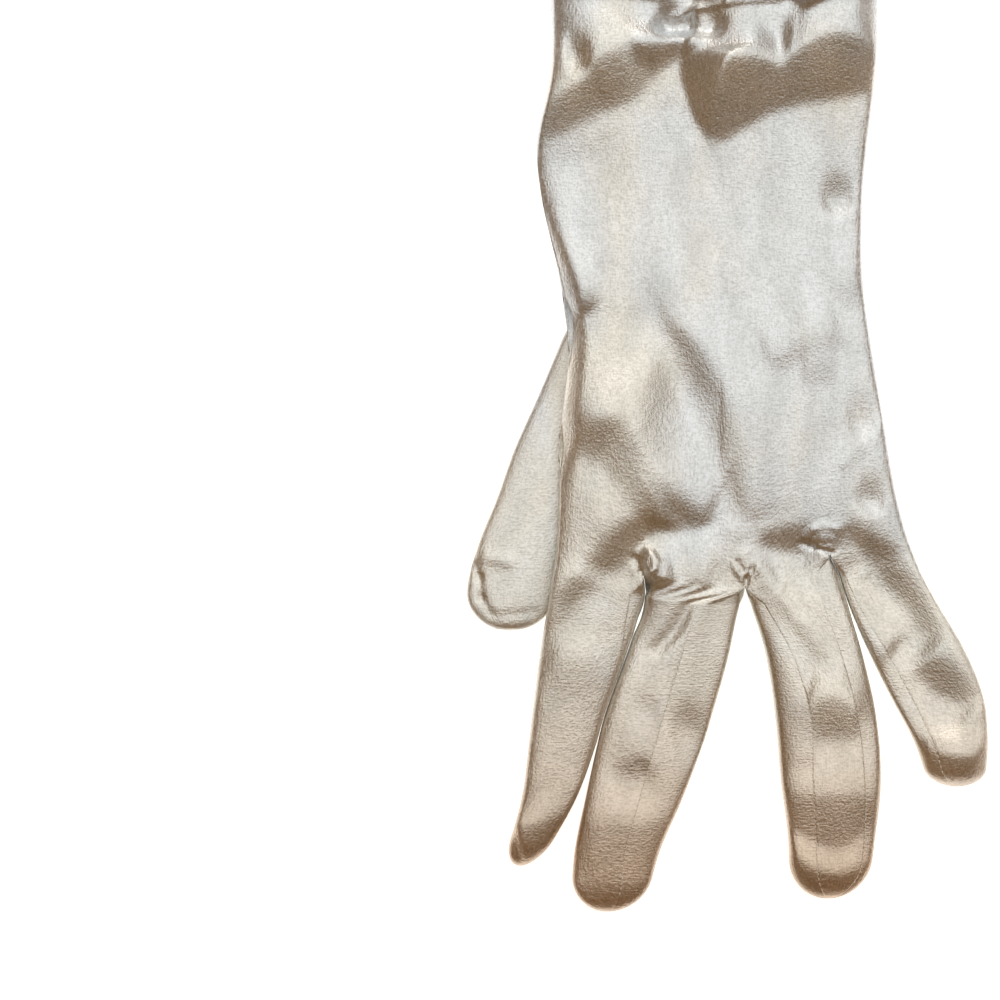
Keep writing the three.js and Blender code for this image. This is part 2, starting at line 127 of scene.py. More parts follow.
world = bpy.data.worlds.new("room")
world.use_nodes = True
background = world.node_tree.nodes["Background"].inputs
background["Color"].default_value = (*WORLD_COLOUR, 1)
background["Strength"].default_value = WORLD_STRENGTH
bpy.context.scene.world = world
bpy.context.scene.view_settings.view_transform = "Standard"
print("lamps:", ", ".join(LAMPS))

# %% [markdown]
# ## The glove's sections
# An empty glove is a set of flat, rounded sections, one after the other from the cuff to the
# fingertips. Short tables give each section's two side edges and its thickness in millimetres,
# and a smooth curve runs through the rows. Nearly the same tables shape the solids, so the cloth
# made here lies where they lie.

# %% Tables of sections


def table(columns, *rows):
    """Named columns, as arrays, from rows of numbers."""
    return {name: np.array(values, float) for name, values in zip(columns.split(), zip(*rows))}


HAND = table("y left right height",
             (132, -41.0, 34.6, 12.0), (110, -42.1, 35.2, 12.5), (95, -42.2, 35.5, 13.0),
             (78, -42.4, 35.0, 13.5), (60, -45.6, 32.9, 13.0), (48, -44.5, 31.9, 12.5),
             (29, -40.2, 32.0, 12.5), (14, -37.8, 33.8, 12.5), (-5, -39.8, 36.9, 12.5),
             (-24, -40.4, 40.2, 12.0), (-36, -41.0, 43.8, 11.0), (-60, -45.0, 55.0, 10.0))
FINGERS = {
    "index": dict(tip=-111.0, round=6.2, rows=table(
        "y left right height seam_left seam_right",
        (-36, -41.0, -19.0, 11.0, 180, 52), (-42, -41.9, -19.5, 10.8, 180, 49),
        (-48, -42.7, -20.05, 10.7, 180, 46), (-52, -43.5, -21.4, 10.7, 180, 42),
        (-56, -44.2, -22.65, 10.6, 180, 36), (-60, -44.8, -24.05, 10.6, 180, 30),
        (-76, -46.8, -29.7, 10.2, 180, 25), (-82, -47.5, -31.4, 10.0, 180, 25),
        (-95, -49.2, -36.2, 9.3, 180, 25), (-111, -53.8, -45.2, 7.0, 180, 25))),
    "middle": dict(tip=-121.9, round=8.3, rows=table(
        "y left right height seam_left seam_right",
        (-36, -19.0, 3.4, 11.0, 186, 84), (-42, -19.55, 3.35, 10.8, 188, 84),
        (-48, -19.9, 2.9, 10.7, 192, 85), (-52, -20.8, 2.0, 10.6, 196, 85),
        (-56, -22.5, 1.2, 10.5, 200, 86), (-60, -23.9, 0.4, 10.4, 200, 86),
        (-76, -29.6, -4.0, 10.0, 200, 85), (-82, -31.1, -5.9, 9.8, 200, 85),
        (-95, -34.0, -10.8, 9.4, 200, 84), (-108, -36.6, -16.4, 8.5, 200, 79),
        (-122, -37.4, -19.8, 7.5, 200, 72))),
    "ring": dict(tip=-118.8, round=9.5, rows=table(
        "y left right height seam_left seam_right",
        (-36, 3.3, 24.6, 11.0, 150, 61), (-42, 3.62, 26.45, 10.8, 150, 61),
        (-48, 5.2, 28.25, 10.7, 138, 61), (-60, 8.8, 31.8, 10.4, 118, 56),
        (-76, 11.3, 35.4, 10.0, 108, 51), (-91, 12.6, 36.4, 9.5, 112, 48),
        (-105, 14.4, 35.0, 8.5, 112, 42), (-119, 14.4, 33.2, 7.5, 106, 42))),
    "little": dict(tip=-92.1, round=4.2, rows=table(
        "y left right height seam_left seam_right",
        (-34, 24.0, 43.1, 10.5, 155, 0), (-42, 26.6, 46.3, 10.3, 152, 0),
        (-48, 28.5, 49.6, 10.0, 144, 0), (-60, 33.5, 56.6, 9.5, 130, 0),
        (-71, 39.0, 60.9, 9.0, 124, 0), (-81, 44.2, 61.9, 8.5, 121, 0),
        (-92, 48.1, 61.2, 7.0, 116, 0))),
}
ORDER = list(FINGERS)
CUFF_END = 132
WRIST = 78
# Where the strips of the four fingers part: at a share of the hand's width, and at which y.
FORKS = table("share y", (0, -36), (0.247, -41.8), (0.516, -44.0), (0.766, -36.4), (1, -35))
# In the grids they part at one y, and the rows bend down to the real fork within a reach above and
# below it. Below it a strip has turned to the section of its own finger within TURNING.
FORK_LINE = -36
FORK_REACH = 30
FORK_REACH_LOW = 24
TURNING = 6
# A gusset takes up so many degrees of a finger's section, and hugs the back where it begins.
GUSSET_SPREAD = 84
GUSSET_HUG = 5
THUMB = dict(tip=-55.0, round=9.5, root=27.0, root_round=13, height=7.0, mid=3.2, rows=table(
    "y left right",
    (27, -34.5, -15.0), (14, -39.8, -17.2), (0, -45.7, -22.6), (-12, -51.0, -27.2),
    (-24, -55.3, -31.6), (-33, -59.0, -35.6), (-43, -61.9, -39.6), (-55, -62.4, -41.4)))
THUMB_CREASES = table(
    "x0 y0 x1 y1 width height",
    (-60.8, -37, -59.3, -42, 1.0, -0.4), (-59.3, -42, -58.8, -47, 1.0, -0.45),
    (-58.8, -47, -56.5, -51, 1.0, -0.35), (-57.5, -37.2, -52.5, -38.4, 1.6, 0.4),
    (-55, -51.5, -46, -50.5, 1.2, -0.15))
THUMB_HOLE = dict(x=-28.2, y=8.5, half_width=6.0, half_length=11.0, lean=14)
# The palm and the back are raised where the thumb lies below them, the side edge by a share of the
# palm's lift, and the flank is the left edge that hangs down there.
LIFT = dict(clear=1, top=27, top_fade=36, low=-41, edge=0.5)
LIFT_OF_PALM = dict(height=7.5, slope=15, low_fade=24)
LIFT_OF_BACK = dict(height=1.5, slope=24, low_fade=50)
FLANK = dict(drop=1.4, width=3.6, soft=0.4, low=-24, low_fade=14, left_at_low=0.3)
# A section's side edges lie at a share of its height. Above them its outline first rises upright
# and then as a power of the angle's sine, the crown. Below them it tucks in to a flat underside.
SECTION = dict(middle=0.42, crown=0.24, crown_of_hand=0.2, hand_to=-30, hand_fade=60, upright=0.03,
               flat=1.25, tuck=0.7, close=0.55, close_of_thumb=0.3, folds_from=6.0)
print("fingers:", ORDER)

# %% [markdown]
# ## Folds
# Stretch satin shows every dent, and the photograph shows them as shaded slopes with fairly sharp
# edges. So each fold is written the way it is seen: a slope that falls from a high edge to a low
# edge, read at a few rungs from one end of the fold to the other. Beyond one of its edges the
# cloth eases back to where it was. Sculpting or a cloth simulation would also give folds, but not
# these folds, and a number in a table is easily set right against the photograph.

# %% Tables of folds
# Each fold: how steep, how far the cloth takes to ease back (above the high edge, or below the
# low edge where the number is negative), how soft its edges are, and rungs of high edge x, y and
# low edge x, y in millimetres.
HOLLOW = [
    (-21, 40, -21, 40), (-17.5, 28, -18.2, 27), (-13.5, 20, -15.8, 17.5), (-8.8, 15.5, -13.6, 12),
    (-5.2, 10.5, -12, 6.5), (-2.2, 4.5, -9.6, 0), (0, -2.5, -7, -6), (2, -9.5, -4.4, -12),
    (3, -16.5, -1.8, -18.5), (4, -24, 1.2, -25), (5.5, -31, 5.5, -31)]
SLOPES = {
    "pillow right of the gathers": (0.4, 34, 0.7, [
        (-19, 86, -19, 70), (-12, 86, -12, 70), (-9.5, 83.5, -9.5, 68), (-7, 81.8, -7, 64.8),
        (-4.5, 81, -4.5, 62), (-2, 81, -2, 61), (1, 81.2, 1, 62.5), (5, 81.2, 5, 65),
        (10, 81.2, 10, 67.8), (15, 82, 15, 69.3), (18, 84.3, 18, 70), (22, 86.3, 22, 70.6),
        (26, 87, 26, 71.3), (30, 86.5, 30, 72), (33, 84.5, 33, 73), (36, 81.5, 36, 74),
        (42, 79, 42, 76)]),
    "pillow left of the gathers": (0.4, 34, 0.8, [
        (-1, 88.5, -1, 88.5), (-5, 88, -5, 85), (-9, 87.3, -9, 81.5), (-13, 85.6, -12.5, 80),
        (-17, 85.3, -16, 77.5), (-21, 86, -20, 74), (-25, 84.8, -24, 70.3), (-29, 82, -28, 68),
        (-32.5, 78.5, -32, 66.8), (-36, 75.3, -36, 64.6), (-40, 73, -40, 62.6),
        (-43.5, 69, -44, 61), (-50, 62, -50, 58)]),
    "second tier, right": (1.0, 26, 0.5, [
        (-9, 96, -9, 94.6), (-4, 96, -4, 94.4), (0, 96, 0, 94.7), (7, 96.5, 7, 95),
        (13, 97, 13, 95.6), (16, 96.5, 16, 94), (18.5, 96, 18.5, 92.3), (21, 96.3, 21, 93.5),
        (24, 97, 24, 95), (30, 97.5, 30, 96), (42, 97.5, 42, 96)]),
    "second tier, left": (1.0, 26, 0.5, [
        (-9, 96.5, -9, 94.8), (-13, 97, -13, 95.3), (-18, 97, -18, 95.2), (-22, 97.3, -22, 95.4),
        (-30, 98, -30, 96), (-48, 98, -48, 96)]),
    "pocket left of the gathers": (0.6, -3, 0.5, [
        (-19.5, 91.5, -19.5, 91.5), (-17.6, 93.6, -17.6, 89.2), (-15, 94.4, -15, 88.2),
        (-12.5, 94.2, -12.5, 88), (-9.5, 92.6, -9.5, 88), (-5, 90.5, -5, 90.5)]),
    "pocket right of the gathers": (0.55, -4, 0.6, [
        (-13, 91, -13, 91), (-9, 92.4, -9, 88.6), (-6.5, 93, -6.5, 88.2),
        (-4, 92.8, -4, 88.4), (1, 91, 1, 91)]),
    "arc right of the gathers": (0.34, -9, 1.0, [
        (0, 92.8, 0, 92.2), (5, 93, 5, 90.5), (9, 93.2, 9, 88.5), (12, 93.4, 12, 86.8),
        (14, 93.5, 14, 87.5), (16, 92.5, 16, 92)]),
    "lip left of the gathers": (0.2, 6, 0.6, [
        (-24, 84.5, -24, 78), (-18, 85.3, -18, 78.2), (-14, 85.6, -14, 80), (-9, 87.2, -9, 81.5),
        (-5, 88, -5, 85), (-1, 88.5, -1, 88.5)]),
    "below the left pillow": (0.13, -16, 1.2, [
        (-50, 58, -50, 56), (-42, 61.5, -42, 56.5), (-36, 62.5, -36, 56.5), (-30, 64, -31, 58),
        (-24, 66, -24, 66)]),
    "dimple on the left pillow": (0.24, -7, 0.8, [
        (-40, 84.5, -40, 84.5), (-38.5, 87.3, -38.5, 82.5), (-36, 88, -36, 82),
        (-34, 87, -34, 82.5), (-32, 85, -32, 85)]),
    "dimple right of the wrist": (0.24, -6, 1.4, [
        (19.5, 51, 19.5, 51), (24, 54.2, 24.5, 47.8), (28, 54, 27, 48.3),
        (31.5, 51.5, 31.5, 51.5)]),
    "left edge of the hand": (0.45, 7, 1.0, [
        (-46, 47, -46, 47), (-43.5, 43, -44.3, 41), (-41, 38.5, -42.3, 34), (-38.5, 33.5, -40, 27),
        (-36.3, 28, -38.5, 21), (-36, 17, -36, 17)]),
    "left edge of the hand, lower down": (0.3, -5, 1.0, [
        (-38, 26, -38, 26), (-34.5, 19, -41, 19), (-34.5, 10, -41.5, 10), (-35.5, 0, -42.5, 0),
        (-37, -10, -43, -10), (-40, -20, -40, -20)]),
    "hollow behind the middle knuckle": (0.23, -24, 1.0, HOLLOW),
    "slope into that hollow": (0.2, 16, 1.0, HOLLOW),
    "long slope over the index knuckle": (0.4, 26, 1.2, [
        (-56, 0, -56, -9), (-46, -1, -46, -10), (-38, -2, -38, -12), (-34, -2.8, -35, -14),
        (-30.5, -3, -32, -15.3), (-27.5, -4, -28.8, -16.8), (-24.7, -8, -26.5, -19.8),
        (-22, -13, -24.3, -23), (-18.8, -18, -22, -26.5), (-14.8, -21.5, -17.8, -29),
        (-10.8, -24.3, -12.5, -30.2), (-7, -27, -8, -30.7), (-3, -31, -3, -31)]),
    "slope down to the index finger": (0.3, 30, 0.8, [
        (-8, -30.5, -8, -30.5), (-14, -28.5, -13.5, -31.3), (-19, -27, -18.5, -32),
        (-23, -28, -21.8, -34.8), (-27, -31, -25, -38.5), (-31, -35.5, -28.8, -42),
        (-35, -39.8, -32.5, -45.8), (-40, -44, -37, -50), (-45, -48.5, -41.5, -54.5),
        (-52, -55, -49, -60)]),
    "pillow above the middle finger": (0.12, 30, 0.8, [
        (-21, -34, -21, -34), (-17, -37.5, -17, -31.8), (-11, -41, -11, -31.5),
        (-5, -40, -5, -31.5), (-1, -35, -1, -35)]),
    "dent below the first fork": (0.4, 9, 0.8, [
        (-22, -44, -22, -44), (-19.5, -41.5, -20, -48), (-16.5, -42, -16.5, -47.5),
        (-14, -43, -14, -46.5), (-11.5, -44, -11.5, -44)]),
    "wrinkle at the middle finger's root": (0.42, -3.5, 0.5, [
        (-6, -41, -6, -41), (-9.5, -44, -8, -45.2), (-11.8, -47.5, -10.2, -49.3),
        (-14, -51, -12.2, -53), (-17, -55.5, -15.2, -57), (-19.5, -58.5, -18.3, -59.8),
        (-21.5, -62, -21.5, -62)]),
    "hollow behind the ring finger": (0.3, -14, 0.8, [
        (4, -34, 4, -34), (8, -31.8, 8.5, -35.2), (12, -30.5, 12.5, -36), (16, -29.7, 16.5, -36.3),
        (19.5, -29.3, 18.5, -34), (23, -28.8, 23, -28.8)]),
    "valley of the little finger": (0.4, -12, 1.1, [
        (24.5, -28.5, 24.5, -28.5), (30, -29.5, 29, -32.5), (35, -31.5, 33, -37),
        (40, -34.5, 37, -42), (44, -38.5, 40, -46.5), (47.5, -44, 43.5, -51),
        (51, -51, 47, -56), (53, -59, 53, -59)]),
    "dent at the right edge": (0.22, -5, 1.3, [
        (28.5, -21, 28.5, -21), (31.5, -18.3, 32, -23), (35, -18, 35, -23.7),
        (38.5, -20, 38.5, -22)]),
    "shallow dent at the right edge": (0.13, -6, 1.5, [
        (26, -1, 26, -1), (30.5, 3, 30.5, -5), (34, 2, 34, -5), (37.5, -1, 37.5, -2)]),
    "slant in the middle of the back": (0.3, 16, 1.2, [
        (7.5, 6.5, 7.5, 6.5), (11, 10, 11.5, 6.7), (16, 13, 17, 9.5), (21, 16, 22, 11.5),
        (25, 16.5, 26, 13), (30, 16, 30, 16)]),
    "soft dent below it": (0.17, 12, 1.2, [
        (15, 5, 15, 5), (19, 8, 20, 3), (23, 8.5, 23.5, 3.5), (28, 6, 28, 6)]),
    "soft dent above it": (0.12, 12, 1.2, [
        (20, 24, 20, 24), (25, 27, 25, 22.5), (30, 27, 30, 23), (34, 25, 34, 25)]),
    "middle finger, first joint": (0.12, -12, 1.2, [
        (-26, -71, -26, -71), (-22, -68.8, -22, -72.5), (-18, -68.5, -18, -73),
        (-15, -70.5, -15, -70.5)]),
    "middle finger, right of its seam": (0.18, -14, 1.2, [
        (-15.5, -75, -15.5, -75), (-12, -71.2, -12.5, -77.5), (-9, -70.5, -9.5, -77.8),
        (-6.8, -72, -7, -76), (-4, -74, -4, -74)]),
    "middle finger, second joint": (0.22, -12, 1.1, [
        (-30, -92, -30, -92), (-27, -86.5, -26, -91.5), (-23.5, -84.5, -22.5, -90.5),
        (-20, -84, -19.8, -88), (-16.5, -85, -16.5, -85)]),
    "middle fingertip": (0.07, 14, 1.8, [
        (-42, -105, -42, -108), (-34, -100.5, -36, -114), (-30, -101, -33, -120),
        (-24, -101, -28, -124), (-18, -101.5, -21, -121), (-14.5, -101, -17, -112),
        (-8, -102, -8, -104)]),
    "index finger, first joint": (0.08, 10, 1.5, [
        (-45, -66, -45, -66), (-40, -62.5, -40, -70), (-34, -62, -35, -71), (-28, -66, -28, -66)]),
    "index fingertip": (0.15, 8, 1.5, [
        (-56, -101, -56, -104), (-50.5, -99, -51.3, -108), (-48.5, -100.5, -49.5, -113),
        (-45, -101, -46.5, -112), (-41.5, -100, -43, -107), (-36, -98, -36, -98)]),
    "ring finger, left side": (0.2, 6, 1.2, [
        (6, -50, 6, -50), (12.5, -60, 9.8, -62), (15, -68, 11.3, -70), (16, -76, 12.3, -78),
        (17, -84, 13, -85), (15, -90, 15, -90)]),
    "ring finger, first joint": (0.2, 10, 1.1, [
        (15, -75, 15, -77), (19.5, -71.5, 19.5, -80), (24, -70.5, 24, -81), (28, -72.5, 28, -81),
        (31, -75, 31, -80.5), (34, -78, 34, -79)]),
    "ring finger, second joint": (0.13, 14, 0.7, [
        (8, -96, 8, -98), (15, -94, 15, -103), (20, -94, 20, -105), (25, -94, 25, -107),
        (29, -94, 29, -106), (32.5, -94.5, 32.5, -102), (40, -95, 40, -97)]),
    "ring fingertip": (0.15, 8, 1.3, [
        (12, -112, 12, -112), (17, -109, 17, -117), (21, -112, 21, -119.5),
        (26, -113.5, 26, -120.5), (30, -112.5, 30, -118), (36, -108, 36, -108)]),
    "little finger, joint": (0.3, -13, 0.9, [
        (38, -55, 38, -55), (42.5, -55, 41.5, -59.5), (46.5, -57.3, 45, -64),
        (50.3, -60, 48.3, -68), (55.2, -63.5, 52.8, -71.8), (58.7, -67.2, 57, -73.3),
        (62, -72, 62, -74)]),
    "little fingertip": (0.26, 8, 1.3, [
        (43, -84, 43, -84), (50, -84.5, 49, -91), (54, -85, 54, -94), (58, -85, 58, -93),
        (61.5, -84, 61.5, -88), (66, -84, 66, -86)]),
}
# A fold fades out over TAPER at either end, or over a third of its length where that is less.
TAPER = 5
TAPER_PARTS = 3
# A fold that begins at a crease. To the right of it the cloth rises at one slope, and above some
# y with a small step and then more gently.
CREASED = {"pillow right of the gathers": dict(
    crease=table("y x", (100, -8.5), (92, -9.0), (87, -9.8), (83, -11.6), (79, -12.0), (72, -10.2),
                 (66, -8.0), (61, -5.4), (55, -2.0)),
    above=81, over=3.5, rise=(0.68, 0.3), step=1.3, step_width=1.5, soft=0.2, soft_limit=0.3)}
# Narrow ridges (and grooves, where the height is negative) along a line.
LINES = table(
    "x0 y0 x1 y1 width height",
    (-31, 32, -3, -26, 4.0, 0.2),
    (-15, -35.5, -3, -36.5, 4.0, 0.25),
    (8, -40, 27, -65, 2.2, 0.35),
    (12, -41, 17.5, -50, 1.6, -0.35),
    (27, -15, 37, -5, 1.6, 0.25),
    (-22.2, -37.6, -20.4, -40.8, 0.9, -0.6),
    (-20.4, -40.8, -19.7, -42.8, 0.7, -0.8),
    (-22.6, -40.0, -21.0, -43.0, 0.6, 0.2),
    (-18.8, -37.9, -18.8, -39.5, 0.5, -0.5),
    (-17.7, -36.6, -17.0, -38.2, 0.5, 0.35),
    (-17.0, -38.2, -17.3, -40.0, 0.5, 0.4),
    (-17.3, -40.0, -18.8, -41.3, 0.5, 0.4),
    (2.0, -38.6, 3.3, -40.6, 0.8, -0.35),
    (5.3, -37.0, 5.6, -40.2, 0.7, -0.3),
    (5.6, -40.2, 4.5, -42.6, 0.7, -0.35),
    (4.2, -42.3, 4.1, -44.2, 0.5, -0.5),
    (0.9, -38.8, 3.3, -43.0, 0.5, 0.25),
    (7.0, -38.2, 6.8, -40.4, 0.5, 0.2),
    (6.8, -40.4, 5.2, -43.0, 0.5, 0.2),
    (17.4, -33.8, 20.0, -35.0, 0.5, -0.8),
    (20.0, -35.0, 24.3, -36.3, 0.5, -0.9),
    (17.8, -33.0, 19.8, -30.7, 0.8, 0.2),
    (19.8, -30.7, 22.8, -29.7, 0.9, 0.25),
    (22.8, -29.7, 25.4, -30.6, 0.9, 0.25),
    (21.0, -33.9, 22.9, -34.4, 0.5, -0.35),
    (24.5, -31.2, 24.6, -32.2, 0.5, -0.25),
    (24.0, -33.6, 24.3, -34.6, 0.5, -0.3),
    (26.5, -31.0, 32.0, -41.0, 1.8, 0.25),
    (-13, 90.6, -8.8, 92.6, 0.7, 0.8),
    (-8.8, 92.6, -0.7, 93.9, 0.7, 0.8),
    (-0.7, 93.9, 12.4, 95, 0.7, 0.6))
# Small knobs where the cloth bunches at the forks.
NUBS = table(
    "x y half_width half_length height",
    (-19.7, -38.0, 3.1, 4.2, 0.55),
    (3.6, -38.8, 3.9, 4.6, 0.35),
    (22.2, -33.0, 5.0, 3.8, 0.4))
NUB_FLAT = 0.45
# The ruching goes on beyond the photograph as rows of pillows that swell from the gathered line.
PILLOWS = table(
    "x0 y0 x1 y1 low high height",
    (-7, 102.5, 36, 103.0, 5.5, 4.5, 3.5),
    (-12, 102.5, -43, 102.0, 5.5, 4.5, 3.5),
    (-7, 112.0, 36, 112.5, 5.0, 4.5, 6.0),
    (-12, 112.0, -42, 112.0, 5.0, 4.5, 6.0),
    (-7, 121.0, 36, 122.0, 4.5, 3.5, 4.5),
    (-12, 121.0, -42, 122.0, 4.5, 3.5, 4.5))
PILLOW_SWELL = 3.5
PILLOW_ROUND = 3
print(len(SLOPES), "slopes,", len(LINES["x0"]), "lines and", len(PILLOWS["x0"]), "pillows")

# %% Curves through the tables


def ease(t):
    """0 to 1 with a soft start and end."""
    t = np.clip(t, 0, 1)
    return t * t * (3 - 2 * t)


def mix(a, b, t):
    return a + (b - a) * t


def curve(xs, values, x):
    """Values at any x, on a smooth curve through rising xs."""
    slopes = np.diff(values) / np.diff(xs)
    tangents = np.concatenate([slopes[:1], (slopes[1:] + slopes[:-1]) / 2, slopes[-1:]])
    x = np.clip(x, xs[0], xs[-1])
    i = np.clip(np.searchsorted(xs, x) - 1, 0, len(xs) - 2)
    span = xs[i + 1] - xs[i]
    t = (x - xs[i]) / span
    rise = (3 - 2 * t) * t * t
    start, end = t * (1 - t) ** 2, (t - 1) * t * t
    bend = span * (start * tangents[i] + end * tangents[i + 1])
    return mix(values[i], values[i + 1], rise) + bend


def at(rows, y, column):
    """A column of a table at any y."""
    return curve(rows["y"][::-1], rows[column][::-1], y)


def rows_of(rows):
    """The rows of a table, one dictionary each."""
    for values in zip(*rows.values()):
        yield dict(zip(rows, values))


def ladder(rungs):
    """A fold's rungs as an axis along it and its two edges measured across that axis."""
    rungs = np.array(rungs, float)
    ends = (rungs[[0, -1], :2] + rungs[[0, -1], 2:]) / 2
    axis = (ends[1] - ends[0]) / np.linalg.norm(ends[1] - ends[0])
    middle = rungs[len(rungs) // 2]
    across = np.array([-axis[1], axis[0]])
    if (middle[:2] - middle[2:]) @ across < 0:
        across = -across
    along = (rungs[:, :2] @ axis + rungs[:, 2:] @ axis) / 2
    high, low = rungs[:, :2] @ across, rungs[:, 2:] @ across
    order = np.argsort(along)
    return axis, across, along[order], high[order], low[order]


def soft_step(v, soft):
    """v where it is positive and 0 where it isn't, with a rounded corner."""
    return soft * np.logaddexp(0, v / soft)


LADDERS = [(steep, back, soft, ladder(rungs), CREASED.get(name))
           for name, (steep, back, soft, rungs) in SLOPES.items()]


def creased(height, of, x, y):
    """A fold's height held down beside the crease where it begins."""
    beside = x - at(of["crease"], y, "x")
    high_up = ease((y - of["above"]) / of["over"])
    limit = mix(*of["rise"], high_up) * soft_step(beside, of["soft"])
    limit = limit + of["step"] * high_up * ease(beside / of["step_width"])
    return height - soft_step(height - limit, of["soft_limit"])


def slope(steep, back, soft, fold, crease, x, y):
    """The height that one fold adds at a place."""
    axis, across, along, high, low = fold
    u, v = x * axis[0] + y * axis[1], x * across[0] + y * across[1]
    top, bottom = curve(along, high, u), curve(along, low, u)
    top = np.maximum(top, bottom)
    taper = min(TAPER, (along[-1] - along[0]) / TAPER_PARTS)
    ends = ease((u - along[0]) / taper) * ease((along[-1] - u) / taper)
    rise = steep * (soft_step(v - bottom, soft) - soft_step(v - top, soft))
    if back > 0:
        height = rise * (1 - ease((v - top) / back))
    else:
        height = (rise - steep * (top - bottom)) * (1 - ease((v - bottom) / back))
    height = height * ends
    if crease:
        height = creased(height, crease, x, y)
    return height


def line(f, x, y):
    """The height of one ridge at a place: full on its line, gone a width or two away."""
    dx, dy = f["x1"] - f["x0"], f["y1"] - f["y0"]
    length = math.hypot(dx, dy)
    along = ((x - f["x0"]) * dx + (y - f["y0"]) * dy) / length
    side = ((x - f["x0"]) * dy - (y - f["y0"]) * dx) / length
    past = along - np.clip(along, 0, length)
    return f["height"] * np.exp(-(side ** 2 + past ** 2) / f["width"] ** 2)


def nub(n, x, y):
    """The height of one knob at a place: a flat-topped dome."""
    out = np.hypot((x - n["x"]) / n["half_width"], (y - n["y"]) / n["half_length"])
    return n["height"] * (1 - ease((out - NUB_FLAT) / (1 - NUB_FLAT)))


def pillow(p, x, y):
    """The height of one pillow of the ruching at a place."""
    t = (x - p["x0"]) / (p["x1"] - p["x0"])
    from_line = np.maximum(t, 0) * abs(p["x1"] - p["x0"])
    swell = 1 - np.exp(-(from_line / PILLOW_SWELL) ** 2)
    off = y - mix(p["y0"], p["y1"], np.clip(t, 0, 1))
    reach = np.where(off < 0, p["low"], p["high"])
    return p["height"] * swell * np.exp(-np.abs(off / reach) ** PILLOW_ROUND)


def folds(x, y):
    """The height that all folds add to the upper side."""
    return (sum(slope(*fold, x, y) for fold in LADDERS)
            + sum(line(f, x, y) for f in rows_of(LINES))
            + sum(nub(n, x, y) for n in rows_of(NUBS))
            + sum(pillow(p, x, y) for p in rows_of(PILLOWS)))


def lift(of, x, y):
    """How far the palm or the back is raised where the thumb lies below the hand."""
    across = 1 - ease((x - at(THUMB["rows"], y, "right") - LIFT["clear"]) / of["slope"])
    towards_cuff = 1 - ease((y - LIFT["top"]) / LIFT["top_fade"])
    towards_tips = 1 - ease((LIFT["low"] - y) / of["low_fade"])
    return of["height"] * across * towards_cuff * towards_tips


def flank(from_edge, x, y):
    """How far the hand's left edge hangs down towards the thumb below it."""
    near = soft_step(FLANK["width"] - np.maximum(from_edge, 0), FLANK["soft"]) / FLANK["width"]
    above = mix(FLANK["left_at_low"], 1, ease((y - FLANK["low"]) / FLANK["low_fade"]))
    return FLANK["drop"] * above * near * lift(LIFT_OF_PALM, x, y) / LIFT_OF_PALM["height"]


print("hand at y = 0:", at(HAND, 0, "left").round(1), at(HAND, 0, "right").round(1))

# %% [markdown]
# ## Surfaces
# A place on a panel is given by two numbers: its share of the way across one finger's strip and
# its y along the glove. Above the forks the four strips lie side by side on the hand's section.
# Below them each one turns to the section of its own finger within a few millimetres.

# %% Sections and panels as surfaces


def outline_height(s, edge, low, high, reach, crown):
    """Height of a section's outline where its angle has the sine s."""
    steep = np.abs(s)
    upright = np.minimum(1, steep / SECTION["upright"]) ** (1 - crown)
    over = edge + (high - edge) * reach * steep ** crown * upright
    under = edge + (low - edge) * reach * np.minimum(1, SECTION["flat"] * steep ** SECTION["tuck"])
    return np.where(s >= 0, over, under)


def section(rows, angle, y, close=1.0):
    """Points on flat, rounded sections. Angle 0 is the right edge, a quarter turn the top."""
    left, right, height = (at(rows, y, column) for column in ("left", "right", "height"))
    s = np.sin(angle)
    x = (left + right) / 2 + (right - left) / 2 * close * np.cos(angle)
    reach = close ** SECTION["close"]
    in_finger = ease((SECTION["hand_to"] - y) / SECTION["hand_fade"])
    crown = mix(SECTION["crown_of_hand"], SECTION["crown"], in_finger)
    low, high = lift(LIFT_OF_PALM, x, y), height + lift(LIFT_OF_BACK, x, y)
    edge = height * SECTION["middle"] + low * LIFT["edge"]
    folded = (folds(x, y) - flank(x - left, x, y)) * ease(s * SECTION["folds_from"]) * reach
    return np.stack([x, y, outline_height(s, edge, low, high, reach, crown) + folded], -1)


def closing(tip, length, y):
    """How much of a finger's width is left at y, near its rounded end."""
    t = np.clip((y - tip) / length, 0, 1)
    return np.sqrt(np.maximum(1 - (1 - t) ** 2, 0))


def finger_section(finger, angle, y):
    return section(finger["rows"], angle, y, closing(finger["tip"], finger["round"], y))


def seam(finger, side, y):
    """The angle at which a finger's seam lies at y, in degrees."""
    return at(finger["rows"], y, "seam_" + side)


def share_angle(share, palm):
    angle = np.arccos(2 * np.clip(share, 0, 1) - 1)
    return -angle if palm else angle


def fork_y(share):
    """Where the fork line lies at a share of the hand's width."""
    shares, ys = FORKS["share"], FORKS["y"]
    i = np.clip(np.searchsorted(shares, share) - 1, 0, len(shares) - 2)
    return mix(ys[i], ys[i + 1], ease((share - shares[i]) / (shares[i + 1] - shares[i])))


def turned_over(y):
    """How far a strip has turned to its finger's own section at y, from 0 to 1."""
    return ease((FORK_LINE - y) / TURNING)


def bent(y, fork):
    """A row's y where the fork line lies at another y."""
    reach = np.where(y > FORK_LINE, FORK_REACH, FORK_REACH_LOW)
    return y + (fork - FORK_LINE) * (1 - ease(np.abs(y - FORK_LINE) / reach))


